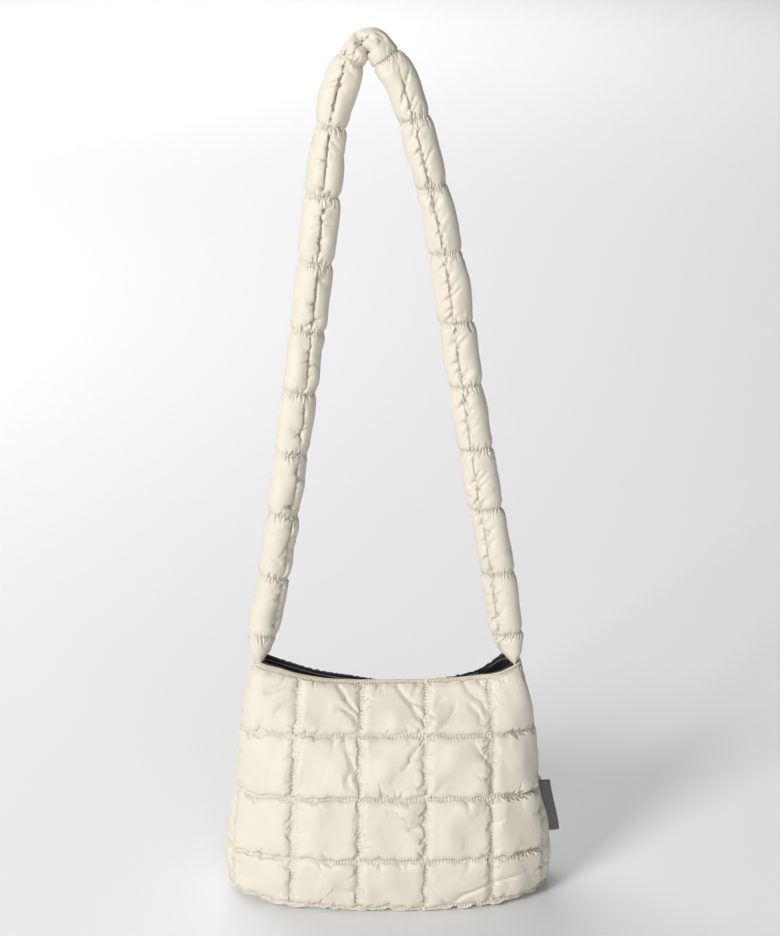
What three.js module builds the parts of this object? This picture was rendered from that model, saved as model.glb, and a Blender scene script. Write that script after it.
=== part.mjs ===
// A quilted, padded shoulder bag: two quilted wall panels sewn to a padded base, a thin dark lining,
// a padded tubular strap sewn into the side seams, and a small folded label in one of them.
// Millimetres, +Z up, front towards -Y. The bag is laid out standing on z = 0 with its middle at x = y = 0,
// then moved so that the point where its strap hangs is the origin.

import * as THREE from "three";

// Quilting of the wall panels
const WHOLE_COLUMNS = 5;
const CELLS = 5; // mesh cells along each side of a quilted square
const EDGE_CELLS = 2; // across the part column that is left along each side seam
const EDGE_LEAST = 1.2; // a line of stitches that would run off the panel ends this far from the seam
const STITCHED_HALF = 1.3; // half the wall's thickness where it is stitched down
const SEAM_GAP = 0.4; // between pieces that are sewn edge to edge

// Levels of the wall, from the base seam to the rim, one at each horizontal line of stitches.
// z: height at the middle of the front. halfWidth, halfDepth: of the body, at the stitches.
// square: how square the section's corners are (2 is an ellipse). rise: how much higher the level is
// at the side seams. dip: how much lower it is at the middle of the back.
// pitch: between upright lines of stitches. shift: how far right of the panel's middle they are set.
// puff: height of the padding in the row above this level.
const LEVELS = [
  { z: 2, halfWidth: 133, halfDepth: 53, square: 2.6, rise: 7, dip: 0, pitch: 55.5, shift: 3.5, puff: 8 },
  { z: 47, halfWidth: 134.5, halfDepth: 54, square: 2.6, rise: -1, dip: 0, pitch: 55, shift: 4, puff: 9.5 },
  { z: 99, halfWidth: 125, halfDepth: 46, square: 2.7, rise: -4, dip: 0, pitch: 54.5, shift: 4.5, puff: 9.5 },
  { z: 149, halfWidth: 119, halfDepth: 32, square: 3.4, rise: 0, dip: 2, pitch: 53.5, shift: 5, puff: 7 },
  { z: 188, halfWidth: 108, halfDepth: 7, square: 8, rise: 13, dip: 5.5, pitch: 52.5, shift: 6, puff: 0 },
];
const ROWS = LEVELS.length - 1;

// The mouth: half its width at the rim, from the left seam (at -1) to the right seam (at 1).
const MOUTH = [
  { at: -1, half: 13.5 },
  { at: -0.72, half: 13 },
  { at: -0.4, half: 9.5 },
  { at: -0.1, half: 6.8 },
  { at: 0.45, half: 6.6 },
  { at: 0.7, half: 8 },
  { at: 0.86, half: 13 },
  { at: 1, half: 13.5 },
];

// Main folds, pressed into the padding between two points of a panel.
// Points are in columns from the first whole column's left and rows from the base. depth, width: of the fold.
const FOLDS = [
  { fromColumn: 1.6, fromRow: 3.9, toColumn: 2, toRow: 3.3, depth: 3, width: 7 },
  { fromColumn: 2.55, fromRow: 3.9, toColumn: 3, toRow: 3.45, depth: 3, width: 7 },
  { fromColumn: 3.6, fromRow: 3.9, toColumn: 4, toRow: 3.5, depth: 2.5, width: 7 },
  { fromColumn: 2.6, fromRow: 2.6, toColumn: 3, toRow: 3, depth: 3, width: 8 },
  { fromColumn: 2.5, fromRow: 1.8, toColumn: 2.95, toRow: 1.45, depth: 3, width: 8 },
  { fromColumn: 1.8, fromRow: 2.8, toColumn: 2, toRow: 2.3, depth: 3, width: 7 },
];

// Base panel
const BASE_POINTS = 40;
const BASE_INSET = 2; // from the wall's stitch line to the base panel's edge
const BASE_THICK = 7;
const BASE_EDGE_THICK = 3;
const BASE_EDGE_UP = 1; // the sewn edge curls up off the ground
const BASE_FLAT = 0.8; // the padding takes up this much of the rise before it leaves the ground
const BASE_RINGS = [0, 0.5, 0.86, 1];

// Lining
const LINING_POINTS = 40;
const LINING_THICK = 1;
const LINING_INSET = { side: 4.8, face: 3.2 }; // from the wall's stitch line to its outer face
const LINING_LEVELS = [0.2, 1, 2, 3, 3.2, 3.4, 3.6, 3.8, 3.985];
const LINING_FLOOR_RINGS = [0.55, 0.9];
const LINING_FLOOR_Z = 8.2;

// Strap: its route in the plane of the side seams, from the left rim corner to the right one.
// turn: how far the long seam faces round from the front towards the inside of the loop, in degrees.
const STRAP_ROUTE = [
  { x: -104.8, z: 202, turn: 90 },
  { x: -106, z: 211, turn: 78 },
  { x: -102.5, z: 236, turn: 56 },
  { x: -94, z: 279, turn: 50 },
  { x: -86, z: 332, turn: 46 },
  { x: -71, z: 434, turn: 30 },
  { x: -57.5, z: 537, turn: 14 },
  { x: -44.5, z: 641, turn: 2 },
  { x: -36, z: 676, turn: 0 },
  { x: -26, z: 700.5, turn: 0 },
  { x: -14, z: 709.5, turn: 0 },
  { x: -3.5, z: 702.5, turn: 0 },
  { x: 7, z: 680, turn: 2 },
  { x: 20.5, z: 648, turn: 8 },
  { x: 44.5, z: 545, turn: 10 },
  { x: 61, z: 438, turn: 16 },
  { x: 79, z: 335, turn: 26 },
  { x: 89.5, z: 283, turn: 32 },
  { x: 97.5, z: 232, turn: 40 },
  { x: 102.5, z: 211, turn: 75 },
  { x: 104.8, z: 202, turn: 90 },
];
const STRAP_APEX = STRAP_ROUTE[10];
const STRAP_FIRST_PINCH = 25; // along the strap, from the left rim corner to the first stitched pinch
const STRAP_LAST_PINCH = 29; // from the last pinch to the right rim corner
const STRAP_SEGMENTS = 19;
const STRAP_RINGS = [0, 0.14, 0.38, 0.62, 0.86]; // places along each padded segment
const STRAP_SIDES = 10;
const STRAP_FULL = { wide: 14.4, thick: 12 }; // half sizes of the section, in the middle of a segment
const STRAP_PINCH = { wide: 11.8, thick: 9.2 };
const STRAP_GROOVE = 4.5; // depth of the long seam's groove
const STRAP_CRUSH = { share: 0.3, reach: 24 }; // the strap is crushed where it folds over at its top
const STRAP_TAB = { wide: 8, thick: 1.1, level: 3.8, inset: 3.2 }; // the flat end, between wall and lining
// Rings of the strap's ends: distance above the rim corner, and half sizes of the section there.
const STRAP_END_RINGS = [
  { above: 0.6, wide: 8, thick: 1.1 },
  { above: 4, wide: 9.5, thick: 4.5 },
  { above: 11, wide: 12.5, thick: 8.5 },
];

// Label: a folded strip standing out of the right side seam
const LABEL = { low: 1.05, high: 1.98, clear: 2.4, deep: 8.8, thick: 1.4, curl: 1.5, cells: 4 };

const COLOURS = { shell: 0xece5d4, lining: 0x1b1b1d, label: 0x70736c };

// Uniform Catmull-Rom through a list of numbers, with t counted in list places.
function spline(values, t) {
  const last = values.length - 1;
  const i = Math.min(Math.floor(t), last - 1);
  const at = (k) => values[Math.max(0, Math.min(last, k))];
  const [a, b, c, d] = [at(i - 1), at(i), at(i + 1), at(i + 2)];
  const f = t - i;
  return b + 0.5 * f * (c - a + f * (2 * a - 5 * b + 4 * c - d + f * (3 * (b - c) + d - a)));
}

// Straight-line look-up of one column in a table whose rows are sorted by another.
function lookUp(table, key, column, value) {
  const i = table.findIndex((row) => row[key] >= value);
  if (i <= 0) return table[i === 0 ? 0 : table.length - 1][column];
  const [low, high] = [table[i - 1], table[i]];
  const f = (value - low[key]) / (high[key] - low[key]);
  return THREE.MathUtils.lerp(low[column], high[column], f);
}

const levelColumns = {};
for (const column of Object.keys(LEVELS[0])) levelColumns[column] = LEVELS.map((row) => row[column]);
const levelValue = (column, v) => spline(levelColumns[column], v);

// Half the body's depth at a share of its half width, before the section's corners are rounded.
function halfDepth(v, share) {
  const depths = [...levelColumns.halfDepth];
  depths[ROWS] = lookUp(MOUTH, "at", "half", share);
  return spline(depths, v);
}

// A point of the wall at level v and at a share of its half width. facing is -1 at the front, 1 at the back.
function wallPoint(v, share, facing, inset = { side: 0, face: 0 }) {
  const square = levelValue("square", v);
  const side = Math.abs(share);
  const round = Math.pow(Math.max(0, 1 - Math.pow(side, square)), 1 / square);
  const dip = facing > 0 ? levelValue("dip", v) * (1 - side * side) : 0;
  return new THREE.Vector3(
    share * (levelValue("halfWidth", v) - inset.side),
    facing * (halfDepth(v, share) - inset.face) * round,
    levelValue("z", v) + levelValue("rise", v) * side ** 3 - dip,
  );
}

// One level of a panel, as a function from distance along the cloth (0 at the middle) to a point.
// Distance runs to the right as the panel is seen from outside.
function panelLevel(v, facing, inset) {
  const SAMPLES = 240;
  const points = [];
  const along = [0];
  for (let i = 0; i <= SAMPLES; i++) {
    const share = Math.sin(Math.PI * (i / SAMPLES - 0.5));
    points.push(wallPoint(v, -facing * share, facing, inset));
    if (i) along.push(along[i - 1] + points[i].distanceTo(points[i - 1]));
  }
  const middle = along[SAMPLES / 2];
  const pointAt = (distance) => {
    const target = THREE.MathUtils.clamp(distance + middle, 0, along[SAMPLES]);
    const i = Math.max(1, along.findIndex((a) => a >= target - 1e-9));
    const f = (target - along[i - 1]) / (along[i] - along[i - 1]);
    return points[i - 1].clone().lerp(points[i], f);
  };
  return { pointAt, left: -middle, right: along[SAMPLES] - middle };
}

// Distances along the cloth of a level's upright lines: both seams, and the stitches between them.
function uprightLines(v, facing, level) {
  const lines = [];
  for (let k = 0; k <= WHOLE_COLUMNS; k++) {
    const line = (k - WHOLE_COLUMNS / 2) * levelValue("pitch", v) - facing * levelValue("shift", v);
    lines.push(THREE.MathUtils.clamp(line, level.left + EDGE_LEAST, level.right - EDGE_LEAST));
  }
  return [level.left, ...lines, level.right];
}

// Mesh places across a panel: the column that each is in, and how far across that column.
function placesAcross() {
  const places = [{ column: 0, p: 0 }];
  for (let column = 0; column < WHOLE_COLUMNS + 2; column++) {
    const whole = column > 0 && column <= WHOLE_COLUMNS;
    const cells = whole ? CELLS : EDGE_CELLS;
    for (let j = 1; j <= cells; j++) places.push({ column, p: j / cells });
  }
  return places;
}

// How much of the padding's height stands at a place in a quilted square, 0 at its stitches.
const pillow = (p, q) => Math.sqrt(Math.max(0, 16 * p * (1 - p) * q * (1 - q)));

// How deep the main folds press in at a place of a panel, in columns and rows.
function foldDepth(column, row) {
  let depth = 0;
  for (const fold of FOLDS) {
    const from = new THREE.Vector3(fold.fromColumn, fold.fromRow, 0);
    const to = new THREE.Vector3(fold.toColumn, fold.toRow, 0);
    const here = new THREE.Vector3(column, row, 0);
    const nearest = new THREE.Line3(from, to).closestPointToPoint(here, true, new THREE.Vector3());
    const away = here.distanceTo(nearest) * levelValue("pitch", row);
    depth += fold.depth * Math.exp(-((away / fold.width) ** 2));
  }
  return depth;
}

// A closed solid between two grids of points. Both are lists of rows; the outer one faces columns x rows.
function sheetBetween(outer, inner) {
  const rows = outer.length;
  const columns = outer[0].length;
  const positions = [...outer.flat(), ...inner.flat()].flatMap((p) => [p.x, p.y, p.z]);
  const out = (i, j) => i * columns + j;
  const inn = (i, j) => rows * columns + i * columns + j;
  const index = [];
  const quad = (a, b, c, d) => index.push(a, b, c, a, c, d);
  for (let i = 0; i + 1 < rows; i++) {
    for (let j = 0; j + 1 < columns; j++) {
      quad(out(i, j), out(i, j + 1), out(i + 1, j + 1), out(i + 1, j));
      quad(inn(i, j), inn(i + 1, j), inn(i + 1, j + 1), inn(i, j + 1));
    }
  }
  for (let j = 0; j + 1 < columns; j++) {
    quad(inn(0, j), inn(0, j + 1), out(0, j + 1), out(0, j));
    quad(out(rows - 1, j), out(rows - 1, j + 1), inn(rows - 1, j + 1), inn(rows - 1, j));
  }
  for (let i = 0; i + 1 < rows; i++) {
    quad(inn(i, 0), out(i, 0), out(i + 1, 0), inn(i + 1, 0));
    quad(out(i, columns - 1), inn(i, columns - 1), inn(i + 1, columns - 1), out(i + 1, columns - 1));
  }
  return solidGeometry(positions, index);
}

// A closed solid skinned over rings of points. A ring of one point closes an end.
function skinOver(rings) {
  const positions = rings.flat().flatMap((p) => [p.x, p.y, p.z]);
  const index = [];
  let start = 0;
  for (let i = 0; i + 1 < rings.length; i++) {
    const [low, high] = [rings[i], rings[i + 1]];
    const next = start + low.length;
    const count = Math.max(low.length, high.length);
    for (let j = 0; j < count; j++) {
      const k = (j + 1) % count;
      const [a, b] = low.length > 1 ? [start + j, start + k] : [start, start];
      const [c, d] = high.length > 1 ? [next + k, next + j] : [next, next];
      if (low.length > 1) index.push(a, b, c);
      if (high.length > 1) index.push(a, c, d);
    }
    start = next;
  }
  return solidGeometry(positions, index);
}

function solidGeometry(positions, index) {
  const geometry = new THREE.BufferGeometry();
  geometry.setAttribute("position", new THREE.Float32BufferAttribute(positions, 3));
  geometry.setIndex(index);
  geometry.computeVertexNormals();
  return geometry;
}

const middleOf = (ring) =>
  ring.reduce((sum, p) => sum.add(p), new THREE.Vector3()).divideScalar(ring.length);

// A quilted wall panel from seam to seam. facing is -1 for the front, 1 for the back.
function wallPanel(facing) {
  const places = placesAcross();
  const middle = [];
  const heights = [];
  for (let i = 0; i <= ROWS * CELLS; i++) {
    const v = i / CELLS;
    const row = Math.min(Math.floor(v), ROWS - 1);
    const level = panelLevel(v, facing);
    const lines = uprightLines(v, facing, level);
    middle.push([]);
    heights.push([]);
    for (const { column, p } of places) {
      const [left, right] = [lines[column], lines[column + 1]];
      const fullness = Math.min(1, (right - left) / levelValue("pitch", v));
      const padding = LEVELS[row].puff * fullness * pillow(p, v - row);
      const folded = padding - foldDepth(column - 1 + p, v);
      middle[i].push(level.pointAt(THREE.MathUtils.lerp(left, right, p)));
      heights[i].push(Math.max(folded, Math.min(padding, 1)));
    }
  }
  const outer = [];
  const inner = [];
  const last = places.length - 1;
  middle.forEach((points, i) => {
    const above = middle[Math.min(i + 1, middle.length - 1)];
    const below = middle[Math.max(i - 1, 0)];
    outer.push([]);
    inner.push([]);
    points.forEach((point, j) => {
      const across = points[Math.min(j + 1, last)].clone().sub(points[Math.max(j - 1, 0)]);
      const normal = across.cross(above[j].clone().sub(below[j]));
      const atSeam = j === 0 || j === last;
      if (atSeam) normal.y = 0;
      normal.normalize();
      const seam = new THREE.Vector3(0, atSeam ? (facing * SEAM_GAP) / 2 : 0, 0);
      outer[i].push(point.clone().add(seam).addScaledVector(normal, STITCHED_HALF + heights[i][j]));
      inner[i].push(point.clone().add(seam).addScaledVector(normal, -STITCHED_HALF));
    });
  });
  return sheetBetween(outer, inner);
}

// Points round a whole level of the body, anticlockwise from the left seam as seen from above.
function levelRing(v, count, inset) {
  const ring = [];
  for (const facing of [-1, 1]) {
    const level = panelLevel(v, facing, inset);
    for (let j = 0; j < count / 2; j++) {
      ring.push(level.pointAt(THREE.MathUtils.lerp(level.left, level.right, (2 * j) / count)));
    }
  }
  return ring;
}

// The padded base: flat on the ground in its middle, with its ends curling up to the seam.
function basePanel() {
  const edge = levelRing(0, BASE_POINTS, { side: BASE_INSET, face: BASE_INSET });
  const lift = (x) => {
    const share = Math.abs(x) / LEVELS[0].halfWidth;
    return Math.max(0, LEVELS[0].rise * share ** 3 - BASE_FLAT);
  };
  const ring = (scale, middleZ, edgeZ) =>
    edge.map((p) => {
      const [x, y] = [p.x * scale, p.y * scale];
      return new THREE.Vector3(x, y, lift(x) + (scale === 1 ? edgeZ : middleZ));
    });
  const under = BASE_RINGS.map((scale) => ring(scale, 0, BASE_EDGE_UP));
  const over = BASE_RINGS.map((scale) => ring(scale, BASE_THICK, BASE_EDGE_UP + BASE_EDGE_THICK));
  under[0] = [middleOf(under[0])];
  over[0] = [middleOf(over[0])];
  return skinOver([...under, ...over.reverse()]);
}

// The lining: an open-topped cup just inside the walls.
function lining() {
  const cup = (thick) => {
    const inset = { side: LINING_INSET.side + thick, face: LINING_INSET.face + thick };
    const walls = LINING_LEVELS.map((v) => levelRing(v, LINING_POINTS, inset));
    const floor = LINING_FLOOR_RINGS.map((scale) =>
      walls[0].map((p) => {
        const lift = LEVELS[0].rise * Math.abs((p.x * scale) / LEVELS[0].halfWidth) ** 3;
        return new THREE.Vector3(p.x * scale, p.y * scale, LINING_FLOOR_Z + thick + lift);
      }),
    );
    return [[middleOf(floor[0])], ...floor, ...walls];
  };
  return skinOver([...cup(0), ...cup(LINING_THICK).reverse()]);
}

// The strap: a padded tube pinched by cross stitches, with a seam groove along it and flat sewn ends.
function strap() {
  const route = new THREE.CatmullRomCurve3(
    STRAP_ROUTE.map(({ x, z }) => new THREE.Vector3(x, 0, z)),
    false,
    "centripetal",
  );
  route.arcLengthDivisions = 600;
  const length = route.getLength();
  const reachOf = (row) => row / (STRAP_ROUTE.length - 1);
  const apexAlong = lengthTo(route, reachOf(STRAP_ROUTE.indexOf(STRAP_APEX)));
  const turns = STRAP_ROUTE.map(({ turn }) => turn);
  const segment = (length - STRAP_FIRST_PINCH - STRAP_LAST_PINCH) / STRAP_SEGMENTS;

  // A ring round the route: wide across the strap, thick the way that its long seam faces.
  const ringAt = (along, half, groove) => {
    const share = THREE.MathUtils.clamp(along / length, 0, 1);
    const centre = route.getPointAt(share);
    const tangent = route.getTangentAt(share);
    const turn = THREE.MathUtils.degToRad(spline(turns, route.getUtoTmapping(share) * (turns.length - 1)));
    const inward = new THREE.Vector3(tangent.z, 0, -tangent.x);
    const front = new THREE.Vector3(0, -1, 0);
    const facing = front.multiplyScalar(Math.cos(turn)).addScaledVector(inward, Math.sin(turn));
    const across = tangent.clone().cross(facing);
    const ring = [];
    for (let j = 0; j < STRAP_SIDES; j++) {
      const angle = (2 * Math.PI * j) / STRAP_SIDES;
      const thick = half.thick * Math.cos(angle) - (j === 0 ? groove : 0);
      const wide = half.wide * Math.sin(angle);
      ring.push(centre.clone().addScaledVector(facing, thick).addScaledVector(across, wide));
    }
    return ring;
  };

  // The flat ring at the bottom of a sewn end, just inside the side seam. side is -1 at the left.
  const tabRing = (side) => {
    const seam = wallPoint(STRAP_TAB.level, side, -1);
    const ring = [];
    for (let j = 0; j < STRAP_SIDES; j++) {
      const angle = (2 * Math.PI * j) / STRAP_SIDES;
      const x = seam.x - side * (STRAP_TAB.inset + STRAP_TAB.thick * Math.cos(angle));
      ring.push(new THREE.Vector3(x, STRAP_TAB.wide * Math.sin(angle), seam.z));
    }
    return ring;
  };

  const rings = [tabRing(-1)];
  for (const row of STRAP_END_RINGS) rings.push(ringAt(row.above, row, 0));
  for (let k = 0; k <= STRAP_SEGMENTS; k++) {
    for (const p of k < STRAP_SEGMENTS ? STRAP_RINGS : [0]) {
      const along = STRAP_FIRST_PINCH + (k + p) * segment;
      const full = Math.pow(4 * p * (1 - p), 0.4);
      const crush = 1 - STRAP_CRUSH.share * Math.exp(-(((along - apexAlong) / STRAP_CRUSH.reach) ** 2));
      const half = {
        wide: crush * THREE.MathUtils.lerp(STRAP_PINCH.wide, STRAP_FULL.wide, full),
        thick: THREE.MathUtils.lerp(STRAP_PINCH.thick, STRAP_FULL.thick, full),
      };
      rings.push(ringAt(along, half, STRAP_GROOVE));
    }
  }
  for (const row of [...STRAP_END_RINGS].reverse()) rings.push(ringAt(length - row.above, row, 0));
  rings.push(tabRing(1));
  return skinOver([[middleOf(rings[0])], ...rings, [middleOf(rings.at(-1))]]);
}

// Length of a curve up to a place in its own parameter.
function lengthTo(curve, t) {
  const STEPS = 400;
  let sum = 0;
  let last = curve.getPoint(0);
  for (let i = 1; i <= STEPS; i++) {
    const point = curve.getPoint((t * i) / STEPS);
    sum += point.distanceTo(last);
    last = point;
  }
  return sum;
}

// The label: two layers folded at the outer edge, following the slope of the side seam.
function label() {
  const grid = (side) => {
    const points = [];
    for (let i = 0; i <= LABEL.cells; i++) {
      const seam = wallPoint(THREE.MathUtils.lerp(LABEL.low, LABEL.high, i / LABEL.cells), 1, -1);
      points.push([]);
      for (let j = 0; j <= LABEL.cells; j++) {
        const out = j / LABEL.cells;
        const thick = j === LABEL.cells ? LABEL.thick / 2 : LABEL.thick;
        const y = (side * thick) / 2 + LABEL.curl * out * out;
        points[i].push(new THREE.Vector3(seam.x + LABEL.clear + LABEL.deep * out, y, seam.z));
      }
    }
    return points;
  };
  return sheetBetween(grid(-1), grid(1));
}

const cloth = (color, roughness) => new THREE.MeshStandardMaterial({ color, roughness, metalness: 0 });
const shell = cloth(COLOURS.shell, 0.55);

function piece(name, geometry, material) {
  const mesh = new THREE.Mesh(geometry, material);
  mesh.name = name;
  return mesh;
}

const bag = new THREE.Group();
bag.add(
  piece("front_panel", wallPanel(-1), shell),
  piece("back_panel", wallPanel(1), shell),
  piece("base_panel", basePanel(), shell),
  piece("lining", lining(), cloth(COLOURS.lining, 0.5)),
  piece("strap", strap(), shell),
  piece("side_label", label(), cloth(COLOURS.label, 0.7)),
);
const hangDrop = (1 - STRAP_CRUSH.share) * STRAP_FULL.wide; // from the strap's middle to its underside
bag.position.set(-STRAP_APEX.x, 0, hangDrop - STRAP_APEX.z);

const part = new THREE.Group();
part.add(bag);
export default part;
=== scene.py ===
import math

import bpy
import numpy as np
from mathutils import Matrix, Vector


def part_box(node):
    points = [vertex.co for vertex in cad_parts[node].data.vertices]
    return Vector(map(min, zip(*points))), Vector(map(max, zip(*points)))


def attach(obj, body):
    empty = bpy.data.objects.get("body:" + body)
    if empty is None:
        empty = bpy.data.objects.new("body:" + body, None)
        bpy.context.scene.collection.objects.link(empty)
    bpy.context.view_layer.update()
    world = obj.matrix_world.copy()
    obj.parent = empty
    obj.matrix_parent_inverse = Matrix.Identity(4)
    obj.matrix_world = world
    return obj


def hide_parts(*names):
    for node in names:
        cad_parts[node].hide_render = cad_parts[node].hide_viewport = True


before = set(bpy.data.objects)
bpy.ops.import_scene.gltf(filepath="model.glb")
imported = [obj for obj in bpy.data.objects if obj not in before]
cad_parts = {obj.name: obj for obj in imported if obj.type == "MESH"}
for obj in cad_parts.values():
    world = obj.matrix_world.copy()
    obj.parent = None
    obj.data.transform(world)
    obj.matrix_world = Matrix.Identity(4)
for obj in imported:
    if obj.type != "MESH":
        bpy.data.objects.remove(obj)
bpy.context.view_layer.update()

# A quilted, padded shoulder bag. Each padded piece is a fine grid of cloth, held down at its stitches
# and settled over its filling, so its puckers come from the cloth's own spare length. Lengths are
# millimetres in the bag's layout (standing on z = 0, front towards -Y) until a mesh is made.

MM = 0.001
wall_low, wall_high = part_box("front_panel")
base_low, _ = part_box("base_panel")
PLACE = np.array([(wall_low.x + wall_high.x) / 2 / MM, 0.0, base_low.z / MM])
SEED = 7
STEPS = 260

# Levels of the wall at its horizontal lines of stitches, from the base seam to the rim
LEVELS = {
    "z": (2, 47, 99, 149, 188),  # at the middle of the front
    "half_width": (133, 134.5, 125, 119, 108),
    "half_depth": (53, 54, 46, 32, 7),
    "square": (2.6, 2.6, 2.7, 3.4, 8),  # how square the corners are
    "rise": (7, -1, -4, 0, 13),  # higher by this at the side seams
    "dip": (0, 0, 0, 2, 5.5),  # lower by this at the middle of the back
    "pitch": (55.5, 55, 54.5, 53.5, 52.5),  # between upright lines of stitches
    "shift": (3.5, 4, 4.5, 5, 6),  # of the upright lines to the right
}
ROWS, COLUMNS = 4, 5  # without the strip at each side seam
LEVEL_SAMPLES = 480
# By share of the half width: half the opening of the mouth, and how far each rim is above its plain curve
MOUTH = (
    (-1, -0.93, -0.72, -0.4, -0.1, 0.45, 0.7, 0.86, 0.95, 1),
    (8.5, 11, 12.5, 9.5, 6.8, 6.6, 8, 13, 11, 8.5),
)
BACK_LIFT = (
    (-1, -0.88, -0.6, -0.3, -0.05, 0.5, 0.7, 0.8, 0.89, 0.96, 1),
    (3.5, 2.5, 1.2, 0.8, -1.8, -2.4, -1.5, 1, 5.0, 3.5, 2.0),
)
FRONT_LIFT = (-1, -0.82, -0.65, -0.47, -0.2, 0.8, 0.93, 1), (3.5, 4.8, 3.0, 1.0, 0, 0, 1.5, 2.0)

# Cloth and filling of every padded piece
TAUT = 0.985  # cloth away from the stitches
LOOSE = 0.97  # how far the filling leaves the puckers along a line free
RIPPLE = 0.9  # height of the first puckers
RIPPLE_WAVES = (4.0, 9.0)
RIPPLE_REACH = 6.0
UNEVEN = 0.5  # shares of the spare cloth
UNEVEN_WAVES = (14, 60)
UNEVEN_RANGE = (0.2, 2)
NEEDLE_DEPTH = 2.5
SPARE_FALL = 1.5  # how suddenly the spare cloth ends
CREASE_SHARP = 1.3
RISE_BLUNT = 0.7

# Settling, in shares for each step
FIRM = 0.3  # of the way back to its height
LINK_STEP = 0.24  # of the move that the links ask for
CARRY = 0.8  # of the move before
CARRY_UNTIL = 0.9  # of the steps
MEAN_REACH = 5  # cells each way in a loose line's mean

# Mesh of a wall panel
ROW_CELLS, COLUMN_CELLS, STRIP_CELLS = 52, 68, 24
WALL_SPACING = 1.0  # about the size of a cell
HEM_ROWS = 5  # from the base edge to its own line of stitches
RIM_ROWS = 3  # and from the rim
EDGE_ARC = 4  # rings that round a hem
COARSE = 4  # outer cells for each inner one

# Stitched layer of a wall panel
LAST_LINE_BACK = (6.5, 6.5, 6, 4, 3)  # of the front's last upright line, by level
STRIP_LEAST = 5.0  # width of the strip at a side seam
STITCHED_HALF = 1.3  # half the thickness of the wall at its edges
LINE_HALF = 2.1  # and at its lines of stitches
UPRIGHT_HALF = 2.9  # and at the upright ones
HEM_LINE_HALF = 1.0  # and along a hem
RIM_BACK = 0.2  # the inner half at the rim, by the lining
RIM_BACK_ROWS = 15  # and from there down it is full
NEEDLE_CELLS = 3  # from one needle hole to the next
WANDER, WANDER_WAVES = 0.6, (12, 60)  # how far the lines of stitches stray
DRIFT, DRIFT_WAVES, DRIFT_LEAST = 0.45, (30, 120), -0.3  # how far the wall stands in and out

# Padding of a wall panel
PUFF_HEIGHT = (3.9, 4.4, 4.4, 4.0)
PUFF_EDGE = 7.5  # from a line of stitches to the flat of the puff
PUFF_DRIFT = 0.1
PUFF_LEAST = 0.2
STRIP_FULL = 52.0  # width of a column of full height
STRIP_LEAST_SHARE = 0.1
HEM_HEIGHT, HEM_EDGE = 1.4, 2.5
STITCH_SPARE = 0.15  # spare cloth that each line of stitches draws up
STITCH_SPARE_REACH = 3.8
HEM_SPARE = 0.03
LOOSE_REACH = 3.2
RIPPLE_FAR = 0.08  # share of the first puckers far from any line
WALL_FOLD = 0.7  # two cells close to no less than this
WALL_LEAST = 0.0  # least height of the cloth

# Folds pressed into the front: three places, in columns from the first upright line and rows, and depth
FOLDS = (
    ((1.6, 3.9), (1.78, 3.55), (2.0, 3.3), 4.0), ((2.55, 3.9), (2.68, 3.6), (3.0, 3.45), 4.0),
    ((3.6, 3.9), (3.72, 3.62), (4.0, 3.5), 3.2), ((2.7, 2.5), (2.84, 2.74), (3.0, 3.0), 4.0),
    ((2.5, 1.8), (2.72, 1.62), (2.95, 1.45), 3.2), ((1.75, 2.95), (1.88, 2.6), (2.0, 2.3), 4.0),
    ((0.9, 3.86), (0.62, 3.66), (0.4, 3.56), 3.0), ((0.98, 3.5), (0.8, 3.42), (0.66, 3.3), 2.5),
    ((3.2, 3.1), (3.4, 3.3), (3.45, 3.5), 3.0), ((3.4, 0.2), (3.9, 0.5), (4.7, 0.62), 3.0),
    ((1.64, 3.42), (1.82, 3.34), (2.0, 3.15), 2.6), ((2.7, 3.58), (2.85, 3.38), (2.98, 3.15), 2.6),
    ((3.82, 3.58), (3.92, 3.44), (4.0, 3.3), 3.0), ((3.7, 3.44), (3.8, 3.34), (3.9, 3.22), 2.6),
    ((3.08, 3.3), (3.18, 3.45), (3.3, 3.56), 2.0), ((1.9, 2.45), (1.84, 2.3), (1.96, 2.1), 2.5),
    ((3.74, 2.85), (3.88, 2.66), (4.0, 2.52), 3.0),
)
FOLD_FULL = 5.0  # a fold of this depth reaches the stitched layer
FOLD_WIDTH = (5.6, 2.6)  # on its left or upper side, and on the other
FOLD_SLANT = 0.5  # between its left and upper sides
FOLD_START = 0.12  # how far into its fade a fold begins
FOLD_BLUNT = 0.5
FOLD_SAMPLES = 90
BACK_MIRROR = 4.7  # columns of the back's folds count back from here
RAYS = 430  # small creases out from the lines of stitches
RAY_LENGTH, RAY_SHARE = (5.0, 22.0), (0.5, 1)
RAY_DEPTH, RAY_WIDTH = (0.4, 2.2), (1.8, 4.2)
RAY_TILT = 0.55

# Deep notches at the right ends of the front's level lines: row, columns from and to, and depth
END_NOTCHES = ((3, 4.25, 4.8, 4.6), (2, 4.1, 4.95, 5.2), (1, 4.35, 5.05, 4.6))
END_NOTCH_REACH, END_NOTCH_BLUNT = 3.4, 0.6
END_NOTCH_ZIGZAG = (1.5, 9.0)  # how far they stray, and how often
# Columns at which the front's lower edge is drawn up
LIP_NOTCHES = (1.56, 2.46, 3.42, 3.74)
LIP_NOTCH_HIGH, LIP_NOTCH_WIDE, LIP_NOTCH_ROWS = 2.8, 5.0, 12.5

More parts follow.
